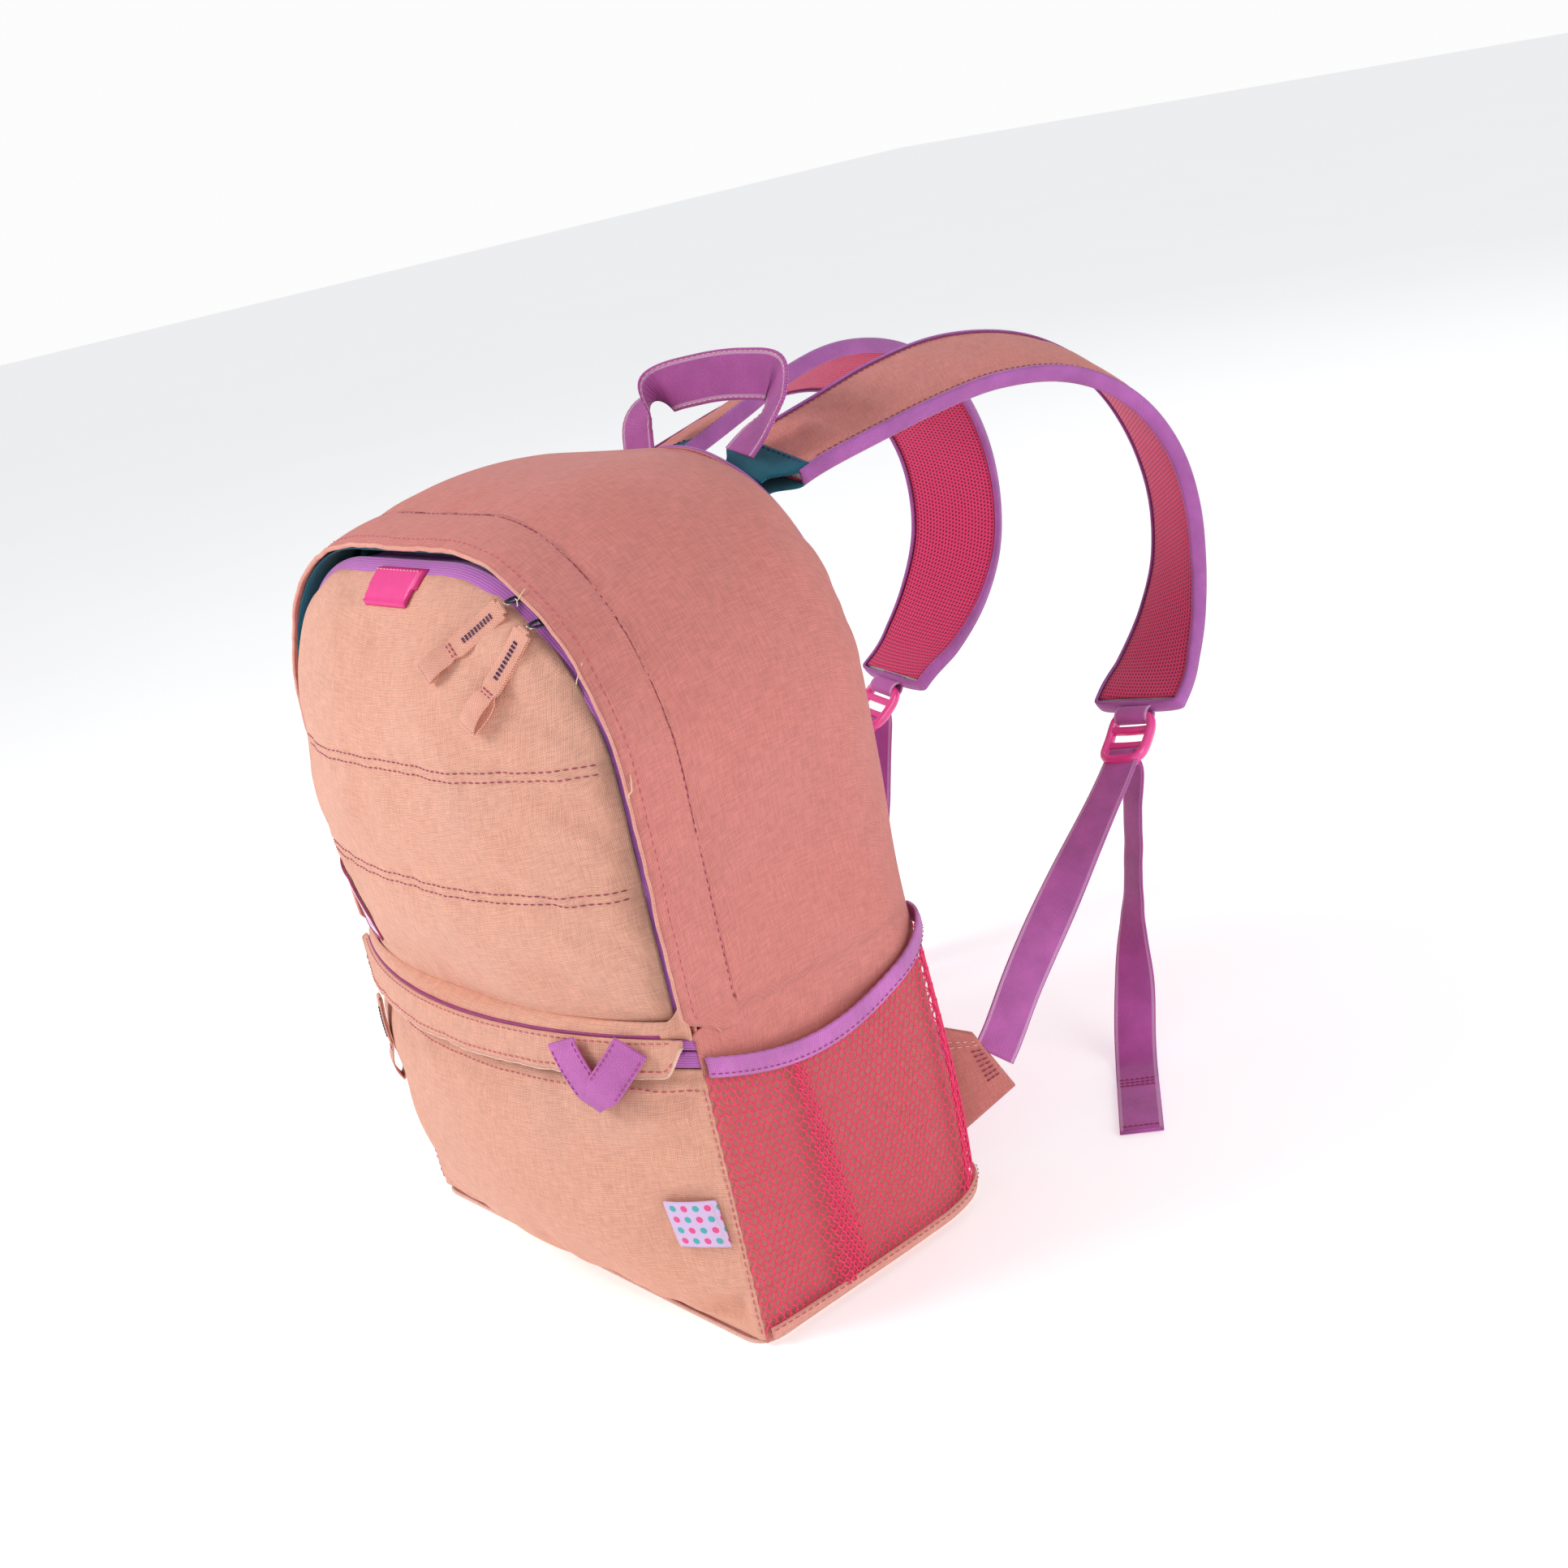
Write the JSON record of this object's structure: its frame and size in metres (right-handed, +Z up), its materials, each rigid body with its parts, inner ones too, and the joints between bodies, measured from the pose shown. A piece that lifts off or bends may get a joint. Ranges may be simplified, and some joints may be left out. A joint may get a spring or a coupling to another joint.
{
  "type": "school backpack",
  "caption": "School backpack with a fold-down front panel, zipped front pocket, mesh side pockets, carry handle and arched padded shoulder straps with ladder-lock buckles.",
  "frame": {"origin": "centre of the bottom face, on the surface that the bag stands on", "axes": "+Z up; +Y towards the wearer's back, where the shoulder straps arch; -Y towards the front pocket; X across the bag"},
  "size_m": [0.3928, 0.5361, 0.4625],
  "materials": {
    "peach_fabric": "matt peach plain-weave polyester",
    "salmon_fabric": "matt salmon-pink plain-weave polyester",
    "teal_fabric": "teal polyester",
    "teal_lining": "thin teal lining",
    "purple_webbing": "ribbed purple webbing, slight sheen",
    "purple_binding": "ribbed purple grosgrain",
    "pull_webbing": "ribbed peach webbing with a woven dash",
    "zip_tape": "purple woven zip tape",
    "zip_coil": "purple nylon coil",
    "zip_metal": "plated zip metal",
    "pink_mesh": "open hot-pink knitted mesh",
    "pink_air_mesh": "hot-pink spacer mesh",
    "foam": "closed-cell foam",
    "label_fabric": "pale lilac woven label",
    "pale_piping": "pale pink piping",
    "pink_rubber": "moulded hot-pink rubber, satin",
    "pink_plastic": "glossy hot-pink moulded plastic",
    "base_board": "dark stiffening board"
  },
  "bodies": {
    "bag": {"gusset": "salmon_fabric", "interior_lining": "teal_lining", "storm_flap_lining": "teal_lining", "bottom_panel": "salmon_fabric", "base_board": "base_board", "bottom_seam_piping": "pale_piping", "back_panel": "salmon_fabric", "back_foam_pad": "foam", "back_mesh_facing": "pink_air_mesh", "back_seam_binding": "purple_binding", "main_zip_outer_tape": "zip_tape", "pocket_zip_upper_tape": "zip_tape", "pocket_zip_lower_tape": "zip_tape", "front_pocket": "peach_fabric", "pocket_back_wall": "teal_lining", "side_label": "label_fabric", "strap_root_right": "teal_fabric", "strap_root_left": "teal_fabric", "lower_anchor_right": "salmon_fabric", "lower_anchor_left": "salmon_fabric", "mesh_pocket_right": "pink_mesh", "mesh_pocket_left": "pink_mesh", "elastic_binding_right": "purple_binding", "elastic_binding_left": "purple_binding"},
    "front_panel": {"front_upper_panel": "peach_fabric", "front_panel_lining": "teal_lining", "main_zip_inner_tape": "zip_tape", "main_zip_coil": "zip_coil", "badge": "pink_rubber", "embroidered_patch": "label_fabric"},
    "zip_slider_right": {"main_slider_right": "zip_metal", "main_puller_right": "zip_metal"},
    "zip_slider_left": {"main_slider_left": "zip_metal", "main_puller_left": "zip_metal"},
    "zip_pull_right": {"webbing_pull_right": "pull_webbing"},
    "zip_pull_left": {"webbing_pull_left": "pull_webbing"},
    "pocket_zip_slider": {"pocket_slider": "zip_metal", "pocket_puller": "zip_metal"},
    "pocket_zip_pull": {"pocket_webbing_pull": "pull_webbing"},
    "pocket_flap": {"pocket_flap": "peach_fabric", "gear_loop": "purple_webbing"},
    "handle": {"top_handle": "purple_webbing"},
    "strap_right": {"strap_top_fabric_right": "peach_fabric", "strap_foam_right": "foam", "strap_mesh_right": "pink_air_mesh", "strap_binding_right": "purple_binding", "strap_webbing_right": "purple_webbing"},
    "lock_right": {"ladder_lock_right": "pink_plastic"},
    "tail_right": {"strap_tail_right": "purple_webbing"},
    "strap_left": {"strap_top_fabric_left": "peach_fabric", "strap_foam_left": "foam", "strap_mesh_left": "pink_air_mesh", "strap_binding_left": "purple_binding", "strap_webbing_left": "purple_webbing"},
    "lock_left": {"ladder_lock_left": "pink_plastic"},
    "tail_left": {"strap_tail_left": "purple_webbing"}
  },
  "joints": [
    {"name": "front_panel_fold", "type": "hinge", "parent": "bag", "child": "front_panel", "pos_m": [0, -0.112, 0.181], "axis": [1, 0, 0], "range_deg": [0, 70]},
    {"name": "zip_slide_right", "type": "hinge", "parent": "front_panel", "child": "zip_slider_right", "pos_m": [0.042, -0.076, 0.303], "axis": [0, 1, 0], "range_deg": [0, 46]},
    {"name": "zip_slide_left", "type": "hinge", "parent": "front_panel", "child": "zip_slider_left", "pos_m": [0.042, -0.076, 0.303], "axis": [0, -1, 0], "range_deg": [0, 30]},
    {"name": "pull_swing_right", "type": "hinge", "parent": "zip_slider_right", "child": "zip_pull_right", "pos_m": [0.10892, -0.0985, 0.37998], "axis": [-0.8725, 0, 0.4886], "range_deg": [0, 60]},
    {"name": "pull_swing_left", "type": "hinge", "parent": "zip_slider_left", "child": "zip_pull_left", "pos_m": [0.09453, -0.0985, 0.39043], "axis": [-0.5704, 0, 0.8214], "range_deg": [0, 60]},
    {"name": "pocket_zip_slide", "type": "hinge", "parent": "bag", "child": "pocket_zip_slider", "pos_m": [0, 0.2065, 0.167], "axis": [0, 0, -1], "range_deg": [-42, 0]},
    {"name": "pocket_pull_swing", "type": "hinge", "parent": "pocket_zip_slider", "child": "pocket_zip_pull", "pos_m": [-0.12143, -0.11118, 0.1495], "axis": [-0.9341, 0.357, 0], "range_deg": [0, 75]},
    {"name": "pocket_flap_lift", "type": "hinge", "parent": "bag", "child": "pocket_flap", "pos_m": [0, -0.128, 0.176], "axis": [1, 0, 0], "range_deg": [-35, 0]},
    {"name": "handle_swing", "type": "hinge", "parent": "bag", "child": "handle", "pos_m": [0, 0.097, 0.413], "axis": [1, 0, 0], "range_deg": [-15, 50]},
    {"name": "strap_swing_right", "type": "hinge", "parent": "bag", "child": "strap_right", "pos_m": [0.046, 0.1, 0.397], "axis": [0.2489, 0.0673, -0.9662], "range_deg": [0, 18]},
    {"name": "lock_tilt_right", "type": "hinge", "parent": "strap_right", "child": "lock_right", "pos_m": [0.10866, 0.30425, 0.19691], "axis": [0.9778, 0.0495, 0.2036], "range_deg": [-12, 0]},
    {"name": "tail_swing_right", "type": "hinge", "parent": "lock_right", "child": "tail_right", "pos_m": [0.114, 0.291, 0.172], "axis": [-0.8563, -0.5165, 0], "range_deg": [0, 20]},
    {"name": "strap_swing_left", "type": "hinge", "parent": "bag", "child": "strap_left", "pos_m": [-0.046, 0.1, 0.397], "axis": [0.2489, -0.0673, 0.9662], "range_deg": [0, 18]},
    {"name": "lock_tilt_left", "type": "hinge", "parent": "strap_left", "child": "lock_left", "pos_m": [-0.10866, 0.30425, 0.19691], "axis": [0.9778, -0.0495, -0.2036], "range_deg": [-12, 0]},
    {"name": "tail_swing_left", "type": "hinge", "parent": "lock_left", "child": "tail_left", "pos_m": [-0.114, 0.291, 0.172], "axis": [-0.8563, 0.5165, 0], "range_deg": [0, 20]}
  ]
}
